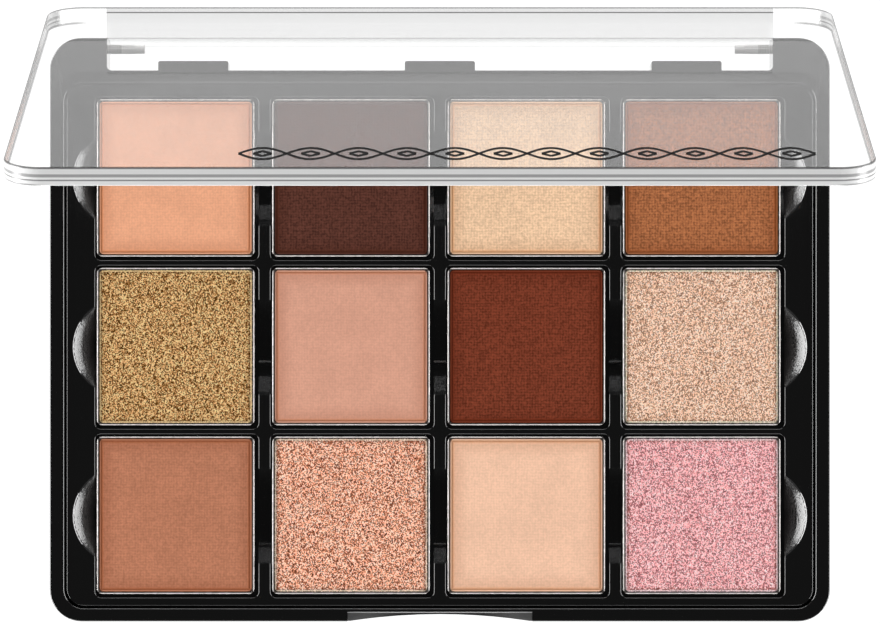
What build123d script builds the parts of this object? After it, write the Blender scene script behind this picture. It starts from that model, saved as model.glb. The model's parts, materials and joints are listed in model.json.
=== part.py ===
from build123d import *
import math
import os

# Eyeshadow palette of square lift-out pans with a clear hinged lid. Millimetres, +Z up, +Y towards the hinge.
# The origin is the centre of the base shell's underside.

# --- pans ---
pan_size = 26.0
pan_corner_radius = 0.9
pan_height = 3.4
pan_wall = 0.25
pan_floor = 0.3
pan_foot_radius = 0.3
pan_rim_radius = 0.08

# --- powder cakes and magnets ---
cake_clearance = 0.04
cake_top_drop = 0.15
cake_bevel = 0.35
magnet_radius = 5.0
magnet_thickness = 1.5
magnet_clearance = 0.05
magnet_air_gap = 1.3

# --- insert tray ---
pan_clearance = 0.5
pan_top_drop = 0.1
pan_shift_left = 0.2
pan_shift_back = 0.1
well_corner_radius = 1.0
well_edge_radius = 0.2
well_floor = 1.0
column_divider = 2.0
row_divider = 0.9
tray_side_margin = 4.8
tray_front_margin = 1.45
tray_rear_margin = 2.0
tray_edge_radius = 0.35
tray_skirt = 1.2
boss_wall = 1.15
finger_notch_chord = 15.8
finger_notch_sill = 1.3
scoop_plan_radius = 8.0
scoop_land = 1.1
scoop_sill = 0.3

# --- base shell ---
case_corner_radius = 5.3
base_floor = 1.5
side_rim_width = 2.4
front_rim_width = 2.2
groove_gap = 0.3
deck_drop = 0.2
cavity_corner_radius = 3.2
underside_edge_radius = 0.8
rim_outer_edge_radius = 0.25
rim_inner_edge_radius = 0.3

# --- hinge: pins, barrel and the notch they sit in ---
pin_radius = 0.75
pin_running_clearance = 0.05
pin_length_in_barrel = 5.6
pin_end_recess = 2.9
knurl_length = 4.0
knurl_teeth = 18
knurl_height = 0.04
barrel_wall = 0.9
barrel_rear_step = 0.05
barrel_side_gap = 0.45
barrel_tab_gap = 0.45
pivot_drop = 3.8
cheek_width = 9.45
notch_wall = 2.05
notch_corner_radius = 0.8
tab_width = 11.6
tab_depth = 1.6
tab_drop = 0.6
tab_end_inset = 8.45
tab_edge_radius = 0.35

# --- thumb notch and nail slot at the front of the base shell ---
thumb_notch_chord = 29.7
thumb_notch_sagitta = 1.15
nail_slot_width = 30.6
nail_slot_wall = 0.6
nail_slot_drop_back = 0.9
nail_slot_drop_front = 1.7

# --- lid ---
lid_thickness = 2.9
lid_overhang = 0.35
lid_seat_gap = 0.05
lid_edge_radius = 0.35
lid_foot_edge_radius = 0.2
rest_opening_angle = 72.45

# Shade names, from the hinge row to the front row and from left to right.
shade_rows = [
    ["peach", "plum", "vanilla", "caramel"],
    ["gold", "dusty_rose", "mahogany", "champagne"],
    ["terracotta", "rose_gold", "nude", "pink"],
]

column_count = len(shade_rows[0])
row_count = len(shade_rows)

# --- plan sizes, from the pans outwards ---
well_size = pan_size + 2 * pan_clearance
column_pitch = well_size + column_divider
row_pitch = well_size + row_divider
tray_width = column_count * column_pitch - column_divider + 2 * tray_side_margin
tray_length = row_count * row_pitch - row_divider + tray_front_margin + tray_rear_margin
tray_corner_radius = cavity_corner_radius - groove_gap
cavity_width = tray_width + 2 * groove_gap
cavity_length = tray_length + 2 * groove_gap
barrel_radius = pin_radius + barrel_wall
pivot_inset = barrel_radius + barrel_rear_step
notch_depth = pivot_inset + barrel_radius + barrel_tab_gap + tab_depth
case_width = cavity_width + 2 * side_rim_width
case_depth = front_rim_width + cavity_length + notch_wall + notch_depth
front_y = -case_depth / 2
rear_y = case_depth / 2
cavity_front_y = front_y + front_rim_width
cavity_rear_y = cavity_front_y + cavity_length
cavity_centre_y = (cavity_front_y + cavity_rear_y) / 2
grid_front_y = cavity_front_y + groove_gap + tray_front_margin
notch_width = case_width - 2 * cheek_width
barrel_width = notch_width - 2 * barrel_side_gap
pivot_y = rear_y - pivot_inset
lid_width = case_width + 2 * lid_overhang
lid_length = case_depth + 2 * lid_overhang
lid_corner_radius = case_corner_radius + lid_overhang
far_past = 2 * case_depth

# --- heights, from the floor upwards ---
well_depth = pan_height + pan_top_drop
tray_slab_z = base_floor + magnet_air_gap + magnet_thickness
well_floor_z = tray_slab_z + well_floor
deck_z = well_floor_z + well_depth
base_height = deck_z + deck_drop
pivot_z = base_height - pivot_drop


def column_x(column):
    return (column - (column_count - 1) / 2) * column_pitch


def row_y(row):
    rows_in_front = row_count - 1 - row
    return grid_front_y + well_size / 2 + rows_in_front * row_pitch


def each_well():
    for row, shades in enumerate(shade_rows):
        for column, shade in enumerate(shades):
            yield shade, column_x(column), row_y(row)


def rounded_slab(width, length, height, corner, centre_x=0.0, centre_y=0.0, bottom_z=0.0):
    outline = Pos(centre_x, centre_y, bottom_z) * RectangleRounded(width, length, corner)
    return extrude(outline, amount=height)


def plain_block(low, high):
    size = [top - bottom for bottom, top in zip(low, high)]
    middle = [(top + bottom) / 2 for bottom, top in zip(low, high)]
    return Pos(*middle) * Box(*size)


def rod_along_x(radius, low_x, high_x, y, z):
    turned = Rot(0, 90, 0) * Cylinder(radius, high_x - low_x)
    return Pos((low_x + high_x) / 2, y, z) * turned


def edges_at(solid, z):
    return solid.edges().filter_by_position(Axis.Z, z, z)


def arc_radius(chord, sagitta):
    return ((chord / 2) ** 2 + sagitta ** 2) / (2 * sagitta)


def base_outer_body():
    body = rounded_slab(case_width, case_depth, base_height, case_corner_radius)
    body = fillet(edges_at(body, 0), underside_edge_radius)
    return fillet(edges_at(body, base_height), rim_outer_edge_radius)


def base_cavity():
    depth = base_height - base_floor
    return rounded_slab(
        cavity_width, cavity_length, depth, cavity_corner_radius, 0, cavity_centre_y, base_floor
    )


def rear_sweep_relief():
    # The rear top edge keeps inside a circle about the hinge axis, so that the lid's foot passes it.
    behind_axis = plain_block(
        (-far_past, pivot_y, pivot_z), (far_past, rear_y + barrel_radius, base_height + barrel_radius)
    )
    return behind_axis - rod_along_x(pivot_drop, -far_past, far_past, pivot_y, pivot_z)


def hinge_notch():
    length = notch_depth + case_depth
    centre_y = rear_y - notch_depth + length / 2
    return rounded_slab(notch_width, length, base_height, notch_corner_radius, 0, centre_y, 0)


def bearing_tab(centre_x):
    wall_y = rear_y - notch_depth
    root = notch_corner_radius
    tab = plain_block(
        (centre_x - tab_width / 2, wall_y - root, 0),
        (centre_x + tab_width / 2, wall_y + tab_depth, base_height - tab_drop),
    )
    front_edges = tab.edges().filter_by(Axis.Z).sort_by(Axis.Y)[-2:]
    return fillet(front_edges, tab_edge_radius)


def thumb_notch():
    radius = arc_radius(thumb_notch_chord, thumb_notch_sagitta)
    centre_y = front_y + thumb_notch_sagitta - radius
    return Pos(0, centre_y, base_height / 2) * Cylinder(radius, 2 * base_height)


def nail_slot():
    nail_slot_depth = front_rim_width - nail_slot_wall
    back_y = front_y + nail_slot_depth
    slope = (nail_slot_drop_front - nail_slot_drop_back) / nail_slot_depth
    run_out = nail_slot_depth
    side_outline = Polyline(
        (0, back_y, base_height + run_out),
        (0, back_y, base_height - nail_slot_drop_back),
        (0, front_y - run_out, base_height - nail_slot_drop_front - slope * run_out),
        (0, front_y - run_out, base_height + run_out),
        close=True,
    )
    return extrude(make_face(side_outline), amount=nail_slot_width / 2, dir=(1, 0, 0), both=True)


def pin_hole_through_cheeks():
    radius = pin_radius + pin_running_clearance
    return rod_along_x(radius, -case_width, case_width, pivot_y, pivot_z)


def base_shell():
    shell = base_outer_body() - base_cavity()
    inner_loop = edges_at(shell, base_height).filter_by(
        lambda edge: abs(edge.center().X) <= cavity_width / 2 + groove_gap
        and cavity_front_y - groove_gap <= edge.center().Y <= cavity_rear_y + groove_gap
    )
    shell = fillet(inner_loop, rim_inner_edge_radius)
    shell -= rear_sweep_relief()
    shell -= hinge_notch()
    outer_tab_x = notch_width / 2 - tab_end_inset - tab_width / 2
    for centre_x in (-outer_tab_x, 0, outer_tab_x):
        shell += bearing_tab(centre_x)
    shell -= thumb_notch()
    shell -= nail_slot()
    return shell - pin_hole_through_cheeks()


def finger_notch(y):
    depth = well_depth - finger_notch_sill
    radius = arc_radius(finger_notch_chord, depth)
    axis_z = deck_z + radius - depth
    reach = (column_count - 1) / 2 * column_pitch
    return rod_along_x(radius, -reach, reach, y, axis_z)


def finger_scoop(side, y):
    depth = well_depth - scoop_sill
    radius = arc_radius(2 * scoop_plan_radius, depth)
    outer_x = tray_width / 2 - scoop_land
    centre_x = side * (outer_x - scoop_plan_radius)
    return Pos(centre_x, y, deck_z + radius - depth) * Sphere(radius)


def insert_tray():
    tray = rounded_slab(
        tray_width, tray_length, deck_z - base_floor, tray_corner_radius, 0, cavity_centre_y, base_floor
    )
    tray = fillet(edges_at(tray, deck_z), tray_edge_radius)
    tray -= rounded_slab(
        tray_width - 2 * tray_skirt,
        tray_length - 2 * tray_skirt,
        tray_slab_z - base_floor,
        tray_corner_radius - tray_skirt,
        0,
        cavity_centre_y,
        base_floor,
    )
    boss_height = tray_slab_z - base_floor
    socket_radius = magnet_radius + magnet_clearance
    for shade, x, y in each_well():
        boss = Cylinder(socket_radius + boss_wall, boss_height) - Cylinder(socket_radius, boss_height)
        tray += Pos(x, y, base_floor + boss_height / 2) * boss
    for shade, x, y in each_well():
        well = rounded_slab(well_size, well_size, well_depth, well_corner_radius, x, y, well_floor_z)
        tray -= well
    half_well = well_size / 2
    grid_edge_x = column_x(column_count - 1) + half_well
    grid_rear_y = row_y(0) + half_well
    well_loops = edges_at(tray, deck_z).filter_by(
        lambda edge: abs(edge.center().X) <= grid_edge_x + well_edge_radius
        and grid_front_y - well_edge_radius <= edge.center().Y <= grid_rear_y + well_edge_radius
    )
    tray = fillet(well_loops, well_edge_radius)
    for row in range(row_count):
        tray -= finger_notch(row_y(row))
        for side in (-1, 1):
            tray -= finger_scoop(side, row_y(row))
    return tray


def magnet(x, y):
    centre_z = tray_slab_z - magnet_thickness / 2
    return Pos(x, y, centre_z) * Cylinder(magnet_radius, magnet_thickness)


def pan(x, y):
    body = rounded_slab(pan_size, pan_size, pan_height, pan_corner_radius, x, y, well_floor_z)
    body = fillet(edges_at(body, well_floor_z), pan_foot_radius)
    inner_size = pan_size - 2 * pan_wall
    inner_corner = pan_corner_radius - pan_wall
    hollow_z = well_floor_z + pan_floor
    body -= rounded_slab(inner_size, inner_size, pan_height, inner_corner, x, y, hollow_z)
    return fillet(edges_at(body, well_floor_z + pan_height), pan_rim_radius)


def powder_cake(x, y):
    size = pan_size - 2 * pan_wall - 2 * cake_clearance
    corner = pan_corner_radius - pan_wall - cake_clearance
    height = pan_height - pan_floor - cake_top_drop
    bottom_z = well_floor_z + pan_floor
    cake = rounded_slab(size, size, height, corner, x, y, bottom_z)
    return chamfer(edges_at(cake, bottom_z + height), cake_bevel)


def hinge_barrel(top_z):
    # A half-round under the axis and a straight wall above it, up into the lid's slab.
    half = barrel_width / 2
    lower = rod_along_x(barrel_radius, -half, half, pivot_y, pivot_z)
    upper = plain_block(
        (-half, pivot_y - barrel_radius, pivot_z), (half, pivot_y + barrel_radius, top_z)
    )
    return lower + upper


def barrel_bore(side):
    end_x = side * barrel_width / 2
    shoulder_x = end_x - side * knurl_length
    blind_x = end_x - side * pin_length_in_barrel
    knurled = rod_along_x(
        pin_radius + knurl_height, min(end_x, shoulder_x), max(end_x, shoulder_x), pivot_y, pivot_z
    )
    smooth = rod_along_x(
        pin_radius, min(shoulder_x, blind_x), max(shoulder_x, blind_x), pivot_y, pivot_z
    )
    return knurled + smooth


def closed_lid():
    foot_z = base_height + lid_seat_gap
    lid = rounded_slab(lid_width, lid_length, lid_thickness, lid_corner_radius, 0, 0, foot_z)
    lid = fillet(edges_at(lid, foot_z + lid_thickness), lid_edge_radius)
    lid = fillet(edges_at(lid, foot_z), lid_foot_edge_radius)
    lid += hinge_barrel(foot_z + lid_thickness / 2)
    for side in (-1, 1):
        lid -= barrel_bore(side)
    return lid


def knurl_ring():
    points = []
    for step in range(2 * knurl_teeth):
        radius = pin_radius + knurl_height * (1 if step % 2 else -1)
        angle = math.pi * step / knurl_teeth
        points.append((radius * math.cos(angle), radius * math.sin(angle)))
    return extrude(make_face(Polyline(*points, close=True)), amount=knurl_length)


def hinge_pin(side):
    inner_x = barrel_width / 2 - pin_length_in_barrel
    outer_x = case_width / 2 - pin_end_recess
    knurl_low_x = barrel_width / 2 - knurl_length
    knurl_high_x = barrel_width / 2
    smooth = rod_along_x(pin_radius, inner_x, knurl_low_x, pivot_y, pivot_z)
    smooth += rod_along_x(pin_radius, knurl_high_x, outer_x, pivot_y, pivot_z)
    knurl = Pos(knurl_low_x, pivot_y, pivot_z) * Rot(0, 90, 0) * knurl_ring()
    pin = smooth + knurl
    return pin if side > 0 else mirror(pin, about=Plane.YZ)


def opened(solid):
    hinge_axis = Axis((0, pivot_y, pivot_z), (-1, 0, 0))
    return solid.rotate(hinge_axis, rest_opening_angle)


def write(name, solid):
    solid.label = name
    export_step(solid, f"parts/{name}.step")


os.makedirs("parts", exist_ok=True)
write("base_shell", base_shell())
write("insert_tray", insert_tray())
write("lid", opened(closed_lid()))
write("hinge_pin_left", opened(hinge_pin(-1)))
write("hinge_pin_right", opened(hinge_pin(1)))
for shade, x, y in each_well():
    pan_x = x - pan_shift_left
    pan_y = y + pan_shift_back
    write(f"magnet_{shade}", magnet(x, y))
    write(f"pan_{shade}", pan(pan_x, pan_y))
    write(f"powder_{shade}", powder_cake(pan_x, pan_y))
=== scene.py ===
import json
import math

import bpy
import numpy as np
from mathutils import Matrix, Vector


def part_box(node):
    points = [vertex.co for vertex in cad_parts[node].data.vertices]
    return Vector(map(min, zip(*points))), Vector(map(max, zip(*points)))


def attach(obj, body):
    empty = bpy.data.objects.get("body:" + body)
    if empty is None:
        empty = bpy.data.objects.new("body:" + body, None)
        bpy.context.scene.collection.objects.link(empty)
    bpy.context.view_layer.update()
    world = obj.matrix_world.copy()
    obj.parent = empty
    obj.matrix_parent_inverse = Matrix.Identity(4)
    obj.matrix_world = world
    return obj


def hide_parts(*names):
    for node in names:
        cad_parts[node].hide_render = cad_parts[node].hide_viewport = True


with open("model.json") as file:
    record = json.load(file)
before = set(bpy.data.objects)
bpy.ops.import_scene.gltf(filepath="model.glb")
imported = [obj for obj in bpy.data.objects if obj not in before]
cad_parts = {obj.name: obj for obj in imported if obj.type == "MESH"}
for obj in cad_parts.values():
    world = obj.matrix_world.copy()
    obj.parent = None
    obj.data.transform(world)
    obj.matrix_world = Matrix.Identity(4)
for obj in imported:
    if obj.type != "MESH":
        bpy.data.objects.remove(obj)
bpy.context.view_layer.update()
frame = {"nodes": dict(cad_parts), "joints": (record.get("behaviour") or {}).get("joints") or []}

mm = 0.001
scene = bpy.context.scene
nodes = frame["nodes"]
joints = {joint["name"]: joint for joint in frame["joints"]}


class Wire:
    # a socket that can be used in sums; every operator adds a Math node
    def __init__(self, bench, socket):
        self.bench = bench
        self.socket = socket

    def maths(self, operation, first, second):
        return self.bench.node("ShaderNodeMath", {"operation": operation}, {0: first, 1: second})

    def __add__(self, other):
        return self.maths("ADD", self, other)

    def __radd__(self, other):
        return self.maths("ADD", other, self)

    def __sub__(self, other):
        return self.maths("SUBTRACT", self, other)

    def __rsub__(self, other):
        return self.maths("SUBTRACT", other, self)

    def __mul__(self, other):
        return self.maths("MULTIPLY", self, other)

    def __rmul__(self, other):
        return self.maths("MULTIPLY", other, self)

    def __truediv__(self, other):
        return self.maths("DIVIDE", self, other)

    def __pow__(self, other):
        return self.maths("POWER", self, other)

    def __abs__(self):
        return self.maths("ABSOLUTE", self, 0.0)

    def sine(self):
        return self.maths("SINE", self, 0.0)

    def larger(self, other):
        return self.maths("MAXIMUM", self, other)

    def folded(self, half):
        # distance to the nearest of a row of centres that stand two halves apart
        return self.maths("PINGPONG", self, half)


class Bench:
    # one node tree being wired up
    def __init__(self, tree):
        self.tree = tree
        self.tree.nodes.clear()

    def node(self, kind, settings=None, inputs=None, out=0):
        made = self.tree.nodes.new(kind)
        for key, value in (settings or {}).items():
            if key == "stops":
                fillRamp(made.color_ramp, value)
            else:
                setattr(made, key, value)
        for key, value in (inputs or {}).items():
            if isinstance(value, Wire):
                self.tree.links.new(value.socket, made.inputs[key])
            else:
                made.inputs[key].default_value = value
        return Wire(self, made.outputs[out]) if made.outputs else None

    def vector(self, operation, first, second, out=0):
        return self.node("ShaderNodeVectorMath", {"operation": operation}, {0: first, 1: second}, out)

    def split(self, whole, kind="ShaderNodeSeparateXYZ"):
        # the three numbers of a vector or a colour
        made = self.node(kind, None, {0: whole})
        return [Wire(self, socket) for socket in made.socket.node.outputs]

    def blend(self, share, first, second, way="MIX"):
        # colour mix: first where share is 0, second where it is 1
        settings = {"data_type": "RGBA", "blend_type": way}
        return self.node("ShaderNodeMix", settings, {0: share, 6: first, 7: second}, out=2)

    def times(self, first, second):
        return self.blend(1.0, first, second, "MULTIPLY")

    def shaders(self, share, first, second):
        return self.node("ShaderNodeMixShader", None, {0: share, 1: first, 2: second})

    def noise(self, place, grain, detail=2.0, roughness=0.5, distortion=0.0):
        # grain is the size of one blob in metres
        return self.node("ShaderNodeTexNoise", None, {
            "Vector": place, "Scale": 1 / grain, "Detail": detail,
            "Roughness": roughness, "Distortion": distortion})

    def span(self, value, low, high, toLow=0.0, toHigh=1.0):
        # a smooth step of value between low and high
        return self.node("ShaderNodeMapRange", {"interpolation_type": "SMOOTHSTEP"}, {
            "Value": value, "From Min": low, "From Max": high, "To Min": toLow, "To Max": toHigh})

    def fade(self, value, low, high, most=1.0):
        # the step the other way: most below low, nothing above high
        return self.span(value, low, high, most, 0.0)

    def near(self, distance, reach, soft, most=1.0):
        # a line's strength: most up to the share soft of its reach, nothing beyond the reach
        return self.fade(distance, reach * soft, reach, most)

    def varied(self, cloud, low, high):
        # between low and high as a noise varies, which keeps near its middle
        return self.span(cloud, 0.3, 0.7, low, high)

    def ramp(self, value, stops):
        return self.node("ShaderNodeValToRGB", {"stops": stops}, {"Fac": value})

    def bump(self, height, depth, under=None):
        inputs = {"Height": height, "Distance": depth, "Strength": 1.0}
        if under:
            inputs["Normal"] = under
        return self.node("ShaderNodeBump", None, inputs)

    def spot(self):
        # the object's own coordinates in metres, whole and split
        place = self.node("ShaderNodeTexCoord", out="Object")
        return place, *self.split(place)

    def surface(self, inputs):
        # the finished surface, from a Principled shader
        self.output(self.node("ShaderNodeBsdfPrincipled", None, inputs))

    def output(self, shader, kind="ShaderNodeOutputMaterial"):
        self.node(kind, None, {"Surface": shader})


def fillRamp(ramp, stops):
    while len(ramp.elements) > 1:
        ramp.elements.remove(ramp.elements[-1])
    ramp.elements[0].position, ramp.elements[0].color = stops[0]
    for position, colour in stops[1:]:
        ramp.elements.new(position).color = colour


def newMaterial(name):
    material = bpy.data.materials.new(name)
    material.use_nodes = True
    return material, Bench(material.node_tree)


def addObject(name, data):
    made = bpy.data.objects.new(name, data)
    scene.collection.objects.link(made)
    return made


def grey(value):
    return (value, value, value, 1.0)


def tint(red, green, blue, share=1.0):
    # a screen colour of 0 to 255 as linear light, times share
    values = []
    for channel in (red, green, blue):
        part = channel / 255
        value = part / 12.92 if part <= 0.04045 else ((part + 0.055) / 1.055) ** 2.4
        values.append(value * share)
    return (*values, 1.0)


def toned(colour, tone):
    # leaning towards a hue, or simply brighter or darker
    return tuple(channel * lean for channel, lean in zip(colour, tone)) + (1.0,)


def scaled(colour, share, tone=(1.0, 1.0, 1.0)):
    # brighter or darker, leaning towards a hue and never brighter than white
    return tuple(min(channel * share * lean, 1.0) for channel, lean in zip(colour, tone)) + (1.0,)


studio = {
    "cameraPlace": (0.02 * mm, 3.0 * mm, 0.8378),
    "lens": 205.1,
    "sensor": 36.0,
    "seesBetween": (0.01, 20.0),
    "floorHalf": 3.0,
    "floorDrop": 0.02 * mm,      # just under the feet of the case
    "floorGlow": 1.14,           # brightness of the light table
    "floorGreys": (grey(0.98), grey(1.0)),
    "floorGrain": 0.5,
    "boxDistance": 0.60,
    "boxTilt": 75.0,             # degrees from straight overhead
    "boxes": [                   # name, degrees anticlockwise from +X, size, power
        ("leftSoftbox", 180, (0.26, 0.85), 8.25),
        ("rightSoftbox", 0, (0.26, 0.85), 6.8),
        ("rearSoftbox", 90, (0.22, 0.60), 1.6),
        ("frontSoftbox", -90, (0.22, 0.60), 1.6),
    ],
    "horizon": grey(0.45),
    "zenith": grey(0.045),
    "skyFade": (0.10, 0.50),     # height of the view where the horizon's grey starts and ends to darken
}


def makeCamera():
    data = bpy.data.cameras.new("topCamera")
    data.lens = studio["lens"]
    data.sensor_width = studio["sensor"]
    data.clip_start, data.clip_end = studio["seesBetween"]
    camera = addObject("topCamera", data)
    camera.location = studio["cameraPlace"]
    scene.camera = camera


def makeFloor():
    half, drop = studio["floorHalf"], -studio["floorDrop"]
    mesh = bpy.data.meshes.new("floor")
    corners = [(-half, -half, drop), (half, -half, drop), (half, half, drop), (-half, half, drop)]
    mesh.from_pydata(corners, [], [(0, 1, 2, 3)])
    material, bench = newMaterial("lightTable")
    place = bench.spot()[0]
    cloud = bench.noise(place, studio["floorGrain"], 1.0)
    colour = bench.blend(cloud, *studio["floorGreys"])
    glow = bench.node("ShaderNodeEmission", None, {"Color": colour, "Strength": studio["floorGlow"]})
    bench.output(glow)
    mesh.materials.append(material)
    addObject("floor", mesh)


def makeSoftbox(name, compass, size, power):
    tilt, heading = math.radians(studio["boxTilt"]), math.radians(compass)
    data = bpy.data.lights.new(name, "AREA")
    data.shape = "RECTANGLE"
    data.size, data.size_y = size
    data.energy = power
    box = addObject(name, data)
    outward = Vector((math.cos(heading), math.sin(heading), 0.0)) * math.sin(tilt)
    box.location = (outward + Vector((0.0, 0.0, math.cos(tilt)))) * studio["boxDistance"]
    box.rotation_euler = (0.0, tilt, heading)
    box.visible_camera = False


def makeSky():
    world = bpy.data.worlds.new("studioSky")
    world.use_nodes = True
    scene.world = world
    bench = Bench(world.node_tree)
    height = bench.split(bench.node("ShaderNodeTexCoord", out="Generated"))[2]
    colour = bench.blend(bench.span(height, *studio["skyFade"]), studio["horizon"], studio["zenith"])
    sky = bench.node("ShaderNodeBackground", None, {"Color": colour, "Strength": 1.0})
    bench.output(sky, "ShaderNodeOutputWorld")


makeCamera()
makeFloor()
for box in studio["boxes"]:
    makeSoftbox(*box)
makeSky()
scene.view_settings.view_transform = "Standard"
print("studio ready")


shell = {
    "black": tint(10, 10, 10),
    "sheen": 0.9,
    "gloss": 0.055,
    "scuffed": 0.11,
    "scuffGrain": 9.0 * mm,
    "scuffSpan": (0.45, 0.75),
    "peelGrain": 0.9 * mm,
    "peelDepth": 0.004 * mm,
    "stippleGrain": 0.40 * mm,
    "stippleDepth": 0.045 * mm,
    "stippleGloss": 0.26,
    "stippleDrop": (0.25 * mm, 0.05 * mm),   # below the rim: fully rough here, still smooth here
    "stippleEdge": 0.1 * mm,
    "stippleOut": 0.8 * mm,                  # from the outer pans' sides to the rough scoops
}

nailSlot = {
    "half": 15.30 * mm,
    "back": 1.60 * mm,                       # from the case's front face to the slot's rear wall
    "drop": (0.45 * mm, 1.72 * mm),          # top and floor of its painted sheen, below the rim
    "soft": 0.05 * mm,
    "sheenDim": tint(30, 30, 30),
    "sheenBright": tint(84, 84, 84),
    "sheenBrightFrom": (5 * mm, 14 * mm),           # painted sheen: the floor is painted lighter towards its ends
    "line": tint(170, 170, 170),
    "highlightFrom": (0.28 * mm, 0.16 * mm),      # painted highlight: a bright line along the rear wall
}


def slotPaintedLight(bench, x, y, z):
    low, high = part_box("base_shell")
    rear, soft = low.y + nailSlot["back"], nailSlot["soft"]
    top, floor = high.z - nailSlot["drop"][0], high.z - nailSlot["drop"][1]
    sides = bench.fade(abs(x), nailSlot["half"] - 2 * soft, nailSlot["half"] + soft)
    below = bench.fade(z, top, top + 2 * soft)
    above = bench.span(z, floor - soft, floor)
    inside = sides * below * above * bench.fade(y, rear + soft, rear + 3 * soft)
    # painted sheen on the slot's floor, brighter towards its ends, and a painted highlight along its rear
    # wall
    paintedSheen = bench.blend(bench.span(abs(x), *nailSlot["sheenBrightFrom"]), nailSlot["sheenDim"], nailSlot["sheenBright"])
    highlightFrom, highlightTo = nailSlot["highlightFrom"]
    paintedHighlight = bench.blend(bench.span(y, rear - highlightFrom, rear - highlightTo), paintedSheen, nailSlot["line"])
    return bench.blend(inside, shell["black"], paintedHighlight)


def glossBlack(name, stippleFrom=None, stippleBelow=None):
    # gloss moulded plastic: with the nail slot's painted sheen and painted highlight, or rough beyond
    # stippleFrom in x and below stippleBelow in z
    material, bench = newMaterial(name)
    place, x, y, z = bench.spot()
    scuff = bench.noise(place, shell["scuffGrain"], 4.0, 0.6)
    gloss = bench.span(scuff, *shell["scuffSpan"], shell["gloss"], shell["scuffed"])
    normal = bench.bump(bench.noise(place, shell["peelGrain"], 1.0), shell["peelDepth"])
    if stippleFrom is None:
        colour = slotPaintedLight(bench, x, y, z)
    else:
        colour = shell["black"]
        roughAt, smoothAt = (stippleBelow - drop for drop in shell["stippleDrop"])
        outside = bench.span(abs(x), stippleFrom, stippleFrom + shell["stippleEdge"])
        patch = outside * bench.fade(z, roughAt, smoothAt)
        grain = bench.noise(place, shell["stippleGrain"], 1.0, 0.4)
        gloss = gloss * (1 - patch) + patch * shell["stippleGloss"]
        normal = bench.bump(grain * patch, shell["stippleDepth"], normal)
    bench.surface({"Base Color": colour, "Roughness": gloss, "Specular IOR Level": shell["sheen"],
                   "Normal": normal})
    return material


def dress(node, material):
    slots = nodes[node].material_slots
    for slot in slots:
        slot.material = material
    if not slots:
        nodes[node].data.materials.append(material)


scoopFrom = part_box("pan_pink")[1].x + shell["stippleOut"]
dress("base_shell", glossBlack("baseGloss"))
dress("insert_tray", glossBlack("trayGloss", scoopFrom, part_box("insert_tray")[1].z))
print("black shells dressed")


# the lid is shaded where it would be if it were closed: lidLow and lidHigh are its closed box
hinge = joints["lid_hinge"]
openAngle = math.radians(-hinge["range_deg"][0])
pivot = Vector(hinge["pos_m"])
turn = Matrix.Rotation(openAngle, 4, Vector(hinge["axis"]))
opened = Matrix.Translation(pivot) @ turn @ Matrix.Translation(-pivot)
closedPoints = np.array([opened.inverted() @ v.co for v in nodes["lid"].data.vertices])
lidLow, lidHigh = closedPoints.min(axis=0).tolist(), closedPoints.max(axis=0).tolist()
footPoints = closedPoints[closedPoints[:, 1] < lidLow[1] + 2 * mm]
lidSlab = lidHigh[2] - float(footPoints[:, 2].min())     # thickness away from the hinge block

lidLook = {
    "headOn": 0.04,              # share reflected straight on, at the plastic's 1.49
    "gloss": 0.52,               # share reflected at a glance, softer than a full mirror
    "power": 5.0,                # how late the one turns into the other
    "paintedEdgeRough": 0.25,
    "cornerRadius": 5.65 * mm,
    "edgeDepth": 0.12 * mm,      # the polished edge shows this far in from the outline
    "edgeFrom": (1 * mm, 2 * mm),            # but not at the rear, where the hinge block is
    "sideDepth": 6.0 * mm,       # painted shade: the side edges are darker, and so are the ends of the free edge
    "sideShade": 0.50,
    "bands": [                   # painted light: the bands of light the edge shows from the outer face down to the foot
        (0.00, 0.22), (0.04, 0.82), (0.08, 0.93), (0.36, 0.90), (0.40, 0.43), (0.52, 0.42), (0.56, 1.00),
        (0.65, 1.00), (0.68, 0.22), (0.71, 0.30), (0.76, 0.97), (0.96, 0.97), (1.00, 0.35)],
    # colour of the lid's painted dark lines and painted shade
    "lineGrey": grey(0.03),
    "lineRough": 0.4,
    "outlineDepth": 0.34 * mm,   # painted dark line where the edge rounds over
    "outlineDark": 0.85,
    "edgeSoft": 0.4,
    "outerFace": (0.06, 0.13),   # shares of the slab's thickness, counted from its outer face
    "innerFace": (0.87, 0.94),
    "innerTo": (4 * mm, 7 * mm),             # the painted dark line at the inner face shows only this near the side edges
    "innerDark": 0.7,
    "darkLineAt": 3.9 * mm,          # painted dark line this far in front of the rear edge
    "darkLineWide": 0.55 * mm,
    "darkLineSoft": 0.6,
    "blockTo": 21.0 * mm,        # the hinge block's thicker plastic reaches this far
    "blockLine": 0.5,
    # painted shade over the hinge block: this share of the dark colour at the rear edge, and this at blockTo
    "blockShade": (0.35, 0.22),
    "blockFade": 4.0 * mm,
    "blockHalf": 55.25 * mm,     # half the block's width at the rear edge
    "blockLean": 0.064,          # and how its ends draw in on the way forward
    "blockEdge": 0.2 * mm,
}


def lidPlace(bench):
    # distances on the closed lid: across, from the side edges, from the rear edge, down from the
    # outer face in slab thicknesses, and in from the rounded outline
    place, x, y, z = bench.spot()
    away = bench.vector("SUBTRACT", place, pivot)
    depth = bench.vector("DOT_PRODUCT", away, turn @ Vector((0, 1, 0)), "Value")
    height = bench.vector("DOT_PRODUCT", away, turn @ Vector((0, 0, 1)), "Value")
    across = abs(x)
    side = lidHigh[0] - across
    back = (lidHigh[1] - pivot.y) - depth
    fall = ((lidHigh[2] - pivot.z) - height) / lidSlab
    end = (lidHigh[1] - lidLow[1]) / 2 - abs(depth - ((lidHigh[1] + lidLow[1]) / 2 - pivot.y))
    radius = lidLook["cornerRadius"]
    sideways, endways = (radius - side).larger(0.0), (radius - end).larger(0.0)
    inset = radius - (sideways * sideways + endways * endways) ** 0.5
    return across, side, back, fall, inset


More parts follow.
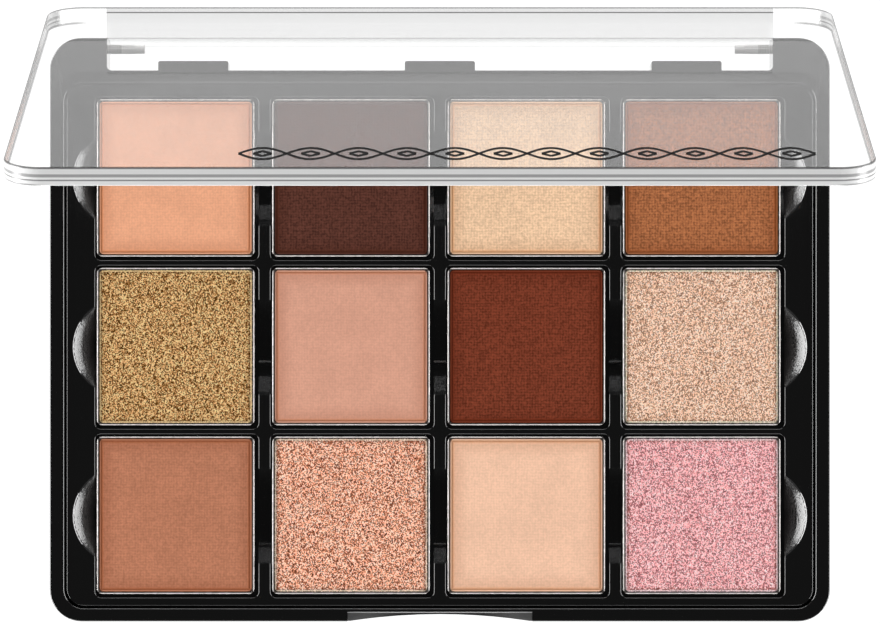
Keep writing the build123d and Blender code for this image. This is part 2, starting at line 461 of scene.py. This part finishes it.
def paintedEdgeBands(bench, side, fall):
    # painted light: the light gathered in the polished edge, painted in grey bands and dimmer at the sides
    bands = bench.ramp(fall, [(step, grey(value)) for step, value in lidLook["bands"]])
    corner = bench.span(side, 0.0, lidLook["sideDepth"])
    return bench.times(bands, bench.blend(corner, grey(lidLook["sideShade"]), grey(1.0)))


def lidLines(bench, across, side, back, fall, inset):
    # painted shade on the lid: dark lines at its outline and across the hinge block, and the hinge block
    # painted darker
    wide, blockTo = lidLook["darkLineWide"], lidLook["blockTo"]
    outline = bench.near(inset, lidLook["outlineDepth"], lidLook["edgeSoft"], lidLook["outlineDark"])
    darkLine = bench.near(abs(back - lidLook["darkLineAt"]), wide, lidLook["darkLineSoft"])
    blockLine = bench.near(abs(back - blockTo), wide, lidLook["darkLineSoft"], lidLook["blockLine"])
    blockShade = bench.span(back, 0.0, blockTo, *lidLook["blockShade"])
    blockShade = blockShade * bench.fade(back, blockTo, blockTo + lidLook["blockFade"])
    reach = across + back * lidLook["blockLean"]
    blockEnd = bench.fade(reach, lidLook["blockHalf"], lidLook["blockHalf"] + lidLook["blockEdge"])
    block = darkLine.larger(blockLine).larger(blockShade) * blockEnd
    outerFace = bench.fade(fall, *lidLook["outerFace"])
    innerFace = bench.span(fall, *lidLook["innerFace"])
    innerFace = innerFace * bench.fade(side, *lidLook["innerTo"], lidLook["innerDark"])
    return outerFace * block.larger(outline) + innerFace * outline


def clearPlastic():
    # see-through sheet with surface gloss on both faces; its polished edges carry painted light and painted
    # shade
    material, bench = newMaterial("clearLid")
    across, side, back, fall, inset = lidPlace(bench)
    facing = bench.node("ShaderNodeLayerWeight", None, {"Blend": 0.5}, "Facing")
    mirror = lidLook["headOn"] + facing ** lidLook["power"] * (lidLook["gloss"] - lidLook["headOn"])
    clear = bench.node("ShaderNodeBsdfTransparent", None, {"Color": grey(1.0)})
    shine = bench.node("ShaderNodeBsdfAnisotropic", None, {"Color": grey(1.0), "Roughness": 0.0})
    paintedEdgeLight = bench.node("ShaderNodeBsdfPrincipled", None, {
        "Base Color": paintedEdgeBands(bench, side, fall), "Roughness": lidLook["paintedEdgeRough"]})
    dark = bench.node("ShaderNodeBsdfPrincipled", None, {
        "Base Color": lidLook["lineGrey"], "Roughness": lidLook["lineRough"]})
    edge = bench.near(inset, lidLook["edgeDepth"], lidLook["edgeSoft"])
    edge = edge * bench.span(back, *lidLook["edgeFrom"])
    sheet = bench.shaders(mirror, clear, shine)
    edged = bench.shaders(edge, sheet, paintedEdgeLight)
    bench.output(bench.shaders(lidLines(bench, across, side, back, fall, inset), edged, dark))
    return material


pin = {
    "bright": (0.95, 0.94, 0.93, 1.0),
    "shadow": (0.42, 0.41, 0.40, 1.0),
    "metallic": 0.15,
    "rough": (0.35, 0.50),
    "turningGrain": 0.15 * mm,
    "turningDepth": 0.004 * mm,
    "knurlPitch": 0.55 * mm,
    "knurlLean": 0.8,
    "knurlShare": 0.70,          # of the pin's length, from its outer end
    "knurlEdge": 0.1 * mm,
    "knurlSpan": (-0.3, 0.3),    # softness of the crossed grooves
}

tinplate = {
    "bright": (0.98, 0.93, 0.90, 1.0),
    "dulled": (0.80, 0.74, 0.71, 1.0),
    # painted shade: the colour inside the rim and down the pan's wall
    "inside": (0.07, 0.06, 0.055, 1.0),
    "metallic": 0.3,
    "rough": (0.22, 0.32),
    "grain": 1.2 * mm,
    "rimDrop": (0.22 * mm, 0.10 * mm),       # below the rim: painted shade here, bright here
    "rimWide": (0.13 * mm, 0.20 * mm),       # in from the pan's outside: bright here, painted shade here
}

nickelPlate = {
    "colour": (0.60, 0.58, 0.54, 1.0),
    "rough": (0.22, 0.40),
    "grain": 0.8 * mm,
}


def turnedSteel():
    # a bright pin, knurled along its outer end
    material, bench = newMaterial("pinSteel")
    place, x, y, z = bench.spot()
    low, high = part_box("hinge_pin_left")
    knurlFrom = abs(low.x) - (high.x - low.x) * pin["knurlShare"]
    turning = bench.noise(place, pin["turningGrain"], 2.0)
    pitch, lean = 2 * math.pi / pin["knurlPitch"], pin["knurlLean"]
    crossed = ((x + y * lean) * pitch).sine() * ((x - y * lean) * pitch).sine()
    ends = bench.span(abs(x), knurlFrom, knurlFrom + pin["knurlEdge"])
    knurl = bench.span(crossed, *pin["knurlSpan"]) * ends
    # painted shade: the knurl's crossed grooves are painted in the shadow colour
    bench.surface({"Base Color": bench.blend(knurl, pin["bright"], pin["shadow"]),
                   "Metallic": pin["metallic"], "Roughness": bench.varied(turning, *pin["rough"]),
                   "Normal": bench.bump(turning, pin["turningDepth"])})
    return material


def rolledTin():
    # a bright folded edge, with painted shade inside it and down the wall; one material for the whole grid
    # of pans
    material, bench = newMaterial("panTinplate")
    place, x, y, z = bench.spot()
    low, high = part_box("pan_gold")
    centre, half = (low + high) / 2, (high.x - low.x) / 2
    columnHalf = (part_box("pan_dusty_rose")[0].x - low.x) / 2
    rowHalf = (low.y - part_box("pan_terracotta")[0].y) / 2
    inset = half - (x - centre.x).folded(columnHalf).larger((y - centre.y).folded(rowHalf))
    darkAt, brightAt = (high.z - drop for drop in tinplate["rimDrop"])
    rim = bench.span(z, darkAt, brightAt) * bench.fade(inset, *tinplate["rimWide"])
    grain = bench.noise(place, tinplate["grain"], 2.0)
    metal = bench.blend(grain, tinplate["dulled"], tinplate["bright"])
    bench.surface({"Base Color": bench.blend(rim, tinplate["inside"], metal),
                   "Metallic": tinplate["metallic"],
                   "Roughness": bench.varied(grain, *tinplate["rough"])})
    return material


def platedMagnet():
    material, bench = newMaterial("magnetNickel")
    place = bench.spot()[0]
    grain = bench.noise(place, nickelPlate["grain"], 3.0)
    bench.surface({"Base Color": nickelPlate["colour"], "Metallic": 1.0,
                   "Roughness": bench.varied(grain, *nickelPlate["rough"])})
    return material


dress("lid", clearPlastic())
for start, material in (("hinge_pin", turnedSteel()), ("pan_", rolledTin()), ("magnet_", platedMagnet())):
    for node in nodes:
        if node.startswith(start):
            dress(node, material)
print("lid and metal dressed")


cake = {
    "gridLines": (0.0, 0.06, 0.13, 0.20, 0.28, 0.36, 0.45, 0.54, 0.64, 0.76, 0.90),   # mm in from the edge
    "cornerRadius": 0.85 * mm,
    "bevelWide": 0.16 * mm,
    "bevelDeep": 0.08 * mm,
    "grooveAt": 0.47 * mm,
    "grooveWide": 0.11 * mm,
    "grooveDeep": 0.06 * mm,
    "calmTo": 0.5 * mm,          # the lumps start this far in
    "fineShare": 0.35,           # of the lumps' height is in smaller ones
    "fineGrain": 0.55,           # and these are that much smaller
    "fineSeed": 100,             # added to a shade's own seed
    "sheen": 0.05,
    "cloudGrain": 5.0 * mm,
    "raggedGrain": 0.35 * mm,
    "grooveShadeTone": (1.20, 0.90, 0.65),            # painted shade: powder in the groove is painted darker and warmer
    "borderReach": 1.0 * mm,
    "border": [                  # over that reach: painted shadow in the gap at the rim, painted light on the pressed lip, painted shade in the groove, then the face
        (0.00, "dark", 0.22, False), (0.07, "dark", 0.30, False), (0.15, "light", 1.00, False),
        (0.27, "light", 1.05, False), (0.38, "dark", 0.40, True), (0.50, "dark", 0.50, True),
        (0.80, "dark", 0.90, True), (1.00, "dark", 1.00, False)],
}

pressCloth = {                   # the face of a matte cake, with the weave of the cloth it was pressed in
    "rough": 0.9,
    "depth": 0.03 * mm,
    "threadPitch": 0.46 * mm,
    "threadShare": 0.055,        # of the weave, the rest is dust
    "weaveSpan": (0.15, 0.85),
    "topShare": 0.9,             # painted light and shade: the weave's tops are painted lighter by this much of what its hollows are painted darker
    "wobble": 0.35 * mm,
    "wobbleGrain": 1.5 * mm,
    "dustGrain": 0.40 * mm,
    "cloudy": (grey(0.93), grey(1.0)),
    "shadow": (0.84, 0.80, 0.78, 1.0),       # beside the pan's wall
    "shadowTo": (0.6 * mm, 3.4 * mm),
    "edgeTo": (0.45 * mm, 1.2 * mm),
    "ragged": 0.3 * mm,
}

flake = {                        # the face of a sparkly cake
    "metallic": 0.35,
    "rough": (0.25, 0.55),
    "roughSpan": (0.2, 0.9),
    "depth": 0.05 * mm,
    "grain": 0.17 * mm,
    "flakeSize": 0.95,           # of the grain
    "grainShare": 0.62,          # of the sparkle, the rest is one value a flake
    "darkGain": 1.05,
    "lightGain": 1.28,
    "edgeTo": (0.60 * mm, 1.4 * mm),
    "ragged": 0.9 * mm,
    "overEdge": (0.55, 0.66),    # bright flakes lie over the border too
    "glintGain": 1.7,            # painted glints: the brightest flakes, kept at white or below before they are toned
    "steps": [                   # sparkle, which colour of the shade and its gain: the flakes' own colours with painted glints at the bright end
        (0.26, "dark", 0.45), (0.38, "dark", 1.0), (0.50, "base", 1.16), (0.60, "light", 1.0),
        (0.72, "glint", 1.0)],
}

matte = {"finish": "matte", "steps": 66, "lump": 0.010 * mm, "lumpGrain": 3.0 * mm, "weave": 0.10}
shimmer = {"finish": "shimmer", "steps": 150, "spread": 0.90, "lump": 0.035 * mm, "lumpGrain": 0.42 * mm}
glitter = {"finish": "glitter", "steps": 160, "spread": 0.72, "lump": 0.060 * mm, "lumpGrain": 0.50 * mm}

shades = {
    "peach": {**matte, "colour": (229, 165, 130), "seed": 11},
    "plum": {**matte, "colour": (86, 50, 40), "weave": 0.50, "seed": 12},
    "vanilla": {**matte, "colour": (240, 198, 162), "weave": 0.25, "seed": 13},
    "caramel": {**matte, "colour": (163, 101, 64), "weave": 0.52, "seed": 14},
    "gold": {**glitter, "colour": (178, 138, 88), "dark": (129, 89, 39), "light": (234, 194, 145),
             "tone": (0.87, 0.72, 0.59), "seed": 15},
    "dusty_rose": {**matte, "colour": (212, 157, 134), "seed": 16},
    "mahogany": {**matte, "colour": (115, 54, 35), "weave": 0.48, "seed": 17},
    "champagne": {**shimmer, "colour": (217, 178, 153), "dark": (179, 139, 113), "light": (255, 220, 194),
                  "tone": (1.00, 0.89, 0.82), "seed": 18},
    "terracotta": {**matte, "colour": (180, 119, 91), "weave": 0.22, "seed": 19},
    "rose_gold": {**glitter, "colour": (215, 154, 128), "dark": (155, 92, 65), "light": (255, 207, 182),
                  "tone": (1.08, 0.84, 0.71), "seed": 20},
    "nude": {**matte, "colour": (238, 193, 164), "seed": 21},
    "pink": {**shimmer, "colour": (223, 160, 161), "dark": (183, 118, 120), "light": (255, 200, 202),
             "tone": (1.03, 0.87, 0.88), "seed": 22},
}


def latticeNoise(x, y, grain, seed):
    # smooth random heights of -1 to 1 with blobs of size grain
    low = (min(x.min(), y.min())) - grain
    count = int((max(x.max(), y.max()) - low) / grain) + 3
    lattice = np.random.default_rng(seed).uniform(-1, 1, (count, count))
    u, v = (x - low) / grain, (y - low) / grain
    i, j = u.astype(int), v.astype(int)
    fu, fv = u - i, v - j
    fu, fv = fu * fu * (3 - 2 * fu), fv * fv * (3 - 2 * fv)
    near = lattice[i, j] * (1 - fu) + lattice[i + 1, j] * fu
    far = lattice[i, j + 1] * (1 - fu) + lattice[i + 1, j + 1] * fu
    return near * (1 - fv) + far * fv


def roundCorners(x, y, half, radius):
    # bends the corners of a square grid into quarter discs
    flat = half - radius
    p = np.clip((np.abs(x) - flat) / radius, 0, 1)
    q = np.clip((np.abs(y) - flat) / radius, 0, 1)
    both = (p > 0) & (q > 0)
    bentX = np.sign(x) * (flat + radius * p * np.sqrt(1 - q * q / 2))
    bentY = np.sign(y) * (flat + radius * q * np.sqrt(1 - p * p / 2))
    return np.where(both, bentX, x), np.where(both, bentY, y)


def edgeDistance(x, y, half, radius):
    # how far inside the rounded outline a point lies
    flat = half - radius
    p, q = np.abs(x) - flat, np.abs(y) - flat
    outside = np.hypot(np.maximum(p, 0), np.maximum(q, 0)) + np.minimum(np.maximum(p, q), 0)
    return radius - outside


def cakeHeights(x, y, half, shade):
    inset = edgeDistance(x, y, half, cake["cornerRadius"])
    rise = np.clip(inset / cake["bevelWide"], 0, 1)
    bevel = cake["bevelDeep"] * (1 - np.sqrt(1 - (1 - rise) ** 2))
    groove = cake["grooveDeep"] * np.exp(-((inset - cake["grooveAt"]) / cake["grooveWide"]) ** 2)
    calm = np.clip(inset / cake["calmTo"], 0, 1)
    lumps = latticeNoise(x, y, shade["lumpGrain"], shade["seed"])
    fine = latticeNoise(x, y, shade["lumpGrain"] * cake["fineGrain"], shade["seed"] + cake["fineSeed"])
    lift = shade["lump"] * ((1 - cake["fineShare"]) * lumps + cake["fineShare"] * fine) * calm
    return -bevel - groove - shade["lump"] + lift


def cakeMesh(name, shade):
    # a fine grid for the pressed face, walls down from its rim and a closed underside
    low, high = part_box("powder_" + name)
    centre = (low + high) / 2
    half = (high.x - low.x) / 2
    border = np.array(cake["gridLines"]) * mm
    inner = np.linspace(-half + border[-1], half - border[-1], shade["steps"])
    lines = np.concatenate([-half + border[:-1], inner, (half - border[:-1])[::-1]])
    count = len(lines)
    gridX, gridY = np.meshgrid(lines, lines, indexing="ij")
    x, y = roundCorners(gridX, gridY, half, cake["cornerRadius"])
    z = high.z + cakeHeights(x, y, half, shade)
    top = np.stack([x + centre.x, y + centre.y, z], axis=-1).reshape(-1, 3)
    index = np.arange(count * count).reshape(count, count)
    corners = (index[:-1, :-1], index[1:, :-1], index[1:, 1:], index[:-1, 1:])
    faces = np.stack(corners, axis=-1).reshape(-1, 4).tolist()
    rim = np.concatenate([index[:-1, 0], index[-1, :-1], index[:0:-1, -1], index[0, :0:-1]])
    foot = top[rim].copy()
    foot[:, 2] = low.z
    base = count * count + np.arange(len(rim))
    for here in range(len(rim)):
        after = (here + 1) % len(rim)
        faces.append((int(rim[after]), int(rim[here]), int(base[here]), int(base[after])))
    faces.append([int(one) for one in base[::-1]])
    mesh = bpy.data.meshes.new("cake_" + name)
    mesh.from_pydata(np.concatenate([top, foot]).tolist(), [], faces)
    mesh.shade_smooth()
    mesh.update()
    return mesh, centre, half


def paintedBorder(bench, inset, light, dark):
    # painted shadow, highlight and shade, from the pan's rim inwards
    colours = {"light": light, "dark": dark}
    stops = []
    for step, which, share, inGrooveShade in cake["border"]:
        tone = cake["grooveShadeTone"] if inGrooveShade else (1.0, 1.0, 1.0)
        stops.append((step, scaled(colours[which], share, tone)))
    return bench.ramp(inset / cake["borderReach"], stops)


def matteFace(bench, shade, place, x, y, inset):
    base = tint(*shade["colour"])
    cloud = bench.noise(place, cake["cloudGrain"], 3.0, 0.55)
    ragged = bench.noise(place, cake["raggedGrain"], 2.0)
    wobble = bench.noise(place, pressCloth["wobbleGrain"], 1.0) * pressCloth["wobble"]
    dust = bench.noise(place, pressCloth["dustGrain"], 2.0, 0.6)
    turns = 2 * math.pi / pressCloth["threadPitch"]
    threads = ((x + wobble) * turns).sine() + ((y + wobble) * turns).sine()
    weave = threads * pressCloth["threadShare"] + dust
    # painted shade in the weave's hollows and painted light on its tops, over the dust's own random tone
    lowest = scaled(base, 1 - shade["weave"])
    highest = scaled(base, 1 + shade["weave"] * pressCloth["topShare"])
    woven = bench.blend(bench.span(weave, *pressCloth["weaveSpan"]), lowest, highest)
    worn = bench.blend(bench.varied(cloud, 0.0, 1.0), *pressCloth["cloudy"])
    shadow = bench.blend(bench.span(inset, *pressCloth["shadowTo"]), pressCloth["shadow"], worn)
    edge = bench.span(inset + ragged * pressCloth["ragged"], *pressCloth["edgeTo"])
    colour = bench.blend(edge, paintedBorder(bench, inset, base, base), bench.times(woven, shadow))
    bench.surface({"Base Color": colour, "Roughness": pressCloth["rough"],
                   "Specular IOR Level": cake["sheen"], "Normal": bench.bump(weave, pressCloth["depth"])})


def sparklyFace(bench, shade, place, inset):
    light = tint(*shade["light"], flake["lightGain"])
    dark = tint(*shade["dark"], flake["darkGain"])
    colours = {"base": tint(*shade["colour"]), "dark": dark, "light": light,
               "glint": scaled(light, flake["glintGain"])}
    ragged = bench.noise(place, cake["raggedGrain"], 2.0)
    grain = bench.noise(place, flake["grain"], 2.0, 0.7, 0.6)
    cells = bench.node("ShaderNodeTexVoronoi", {"feature": "F1"}, {
        "Vector": place, "Scale": 1 / (flake["grain"] * flake["flakeSize"]), "Randomness": 1.0}, out="Color")
    pick = bench.split(cells, "ShaderNodeSeparateColor")[1]
    sparkle = grain * flake["grainShare"] + pick * (1 - flake["grainShare"])
    stops = []
    for step, which, gain in flake["steps"]:
        tone = [gain * lean for lean in shade["tone"]]
        stops.append((0.5 + (step - 0.5) * shade["spread"], toned(colours[which], tone)))
    # the flakes' own colours, with their glints painted in as bright colour
    face = bench.ramp(sparkle, stops)
    edge = bench.span(inset + ragged * flake["ragged"], *flake["edgeTo"])
    colour = bench.blend(edge, paintedBorder(bench, inset, light, dark), face)
    colour = bench.blend(bench.span(sparkle, *flake["overEdge"]), colour, face)
    bench.surface({"Base Color": colour, "Metallic": flake["metallic"],
                   "Roughness": bench.span(pick, *flake["roughSpan"], *flake["rough"]),
                   "Specular IOR Level": cake["sheen"], "Normal": bench.bump(sparkle, flake["depth"])})


def cakeMaterial(name, shade, centre, half):
    material, bench = newMaterial("powder_" + name)
    place, x, y, z = bench.spot()
    inset = half - abs(x - centre.x).larger(abs(y - centre.y))
    if shade["finish"] == "matte":
        matteFace(bench, shade, place, x, y, inset)
    else:
        sparklyFace(bench, shade, place, inset)
    return material


for name, shade in shades.items():
    mesh, centre, half = cakeMesh(name, shade)
    mesh.materials.append(cakeMaterial(name, shade, centre, half))
    piece = addObject("cake_" + name, mesh)
    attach(piece, name + "_pan")
    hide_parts("powder_" + name)
print("powder cakes pressed")


ornament = {
    "left": -30.0 * mm,
    "right": 56.0 * mm,
    "fromEdge": 7.4 * mm,        # middle of the band to the lid's free edge
    "tall": 7.2 * mm,
    "loops": 12,
    "stepsEach": 24,             # points along one loop of a strand
    "eyeHalf": (1.4 * mm, 1.3 * mm),
    "eyeSides": 4,
    "nib": (0.34 * mm, 1.10 * mm),           # the stroke's width across and along the lid
    "lean": 0.30,                # how flat the lid lies to the eye at rest
    "film": 0.02 * mm,
    "inks": (grey(0.006), grey(0.012)),
    "speck": 0.2 * mm,
    "rough": (0.6, 0.8),
    "sheen": 0.05,
}


def ribbon(points, verts, faces):
    # a flat printed stroke with a little thickness along points in the lid's plane
    start = len(verts)
    count = len(points)
    wide, tall = ornament["nib"]
    for here in range(count):
        before, after = points[max(here - 1, 0)], points[min(here + 1, count - 1)]
        along = Vector((after[0] - before[0], (after[1] - before[1]) * ornament["lean"])).normalized()
        side = Vector((-along.y * wide, along.x * tall)) / 2
        for sign in (-1, 1):
            spot = Vector(points[here]) + side * sign
            for lift in (0.0, ornament["film"]):
                verts.append((spot.x, spot.y, lidHigh[2] + lift))
    for here in range(count - 1):
        a = start + 4 * here
        b = a + 4
        faces += [(a, b, b + 2, a + 2), (a + 1, a + 3, b + 3, b + 1)]
        faces += [(a, a + 1, b + 1, b), (a + 2, b + 2, b + 3, a + 3)]
    last = start + 4 * (count - 1)
    faces += [(start, start + 2, start + 3, start + 1), (last, last + 1, last + 3, last + 2)]


def bandMesh():
    # two strands that cross again and again, with a small eye in every loop
    verts, faces = [], []
    left, loops = ornament["left"], ornament["loops"]
    long = ornament["right"] - left
    middle = lidLow[1] + ornament["fromEdge"]
    swing = (ornament["tall"] - ornament["nib"][1]) / 2
    steps = loops * ornament["stepsEach"]
    for sign in (-1, 1):
        wave = [(left + long * i / steps, middle + sign * swing * math.sin(math.pi * loops * i / steps))
                for i in range(steps + 1)]
        ribbon(wave, verts, faces)
    wideHalf, tallHalf = ornament["eyeHalf"]
    corners = [2 * math.pi * k / ornament["eyeSides"] for k in range(ornament["eyeSides"] + 1)]
    for loop in range(loops):
        centreX = left + long * (loop + 0.5) / loops
        eye = [(centreX + wideHalf * math.cos(a), middle + tallHalf * math.sin(a)) for a in corners]
        for first, second in zip(eye, eye[1:]):
            ribbon([first, second], verts, faces)
    mesh = bpy.data.meshes.new("lid_ornament")
    mesh.from_pydata([tuple(opened @ Vector(v)) for v in verts], [], faces)
    mesh.update()
    return mesh


def printInk():
    material, bench = newMaterial("printInk")
    place = bench.spot()[0]
    speck = bench.noise(place, ornament["speck"], 2.0)
    bench.surface({"Base Color": bench.blend(speck, *ornament["inks"]),
                   "Roughness": bench.varied(speck, *ornament["rough"]),
                   "Specular IOR Level": ornament["sheen"]})
    return material


band = bandMesh()
band.materials.append(printInk())
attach(addObject("lid_ornament", band), "lid")
print("lid printed")
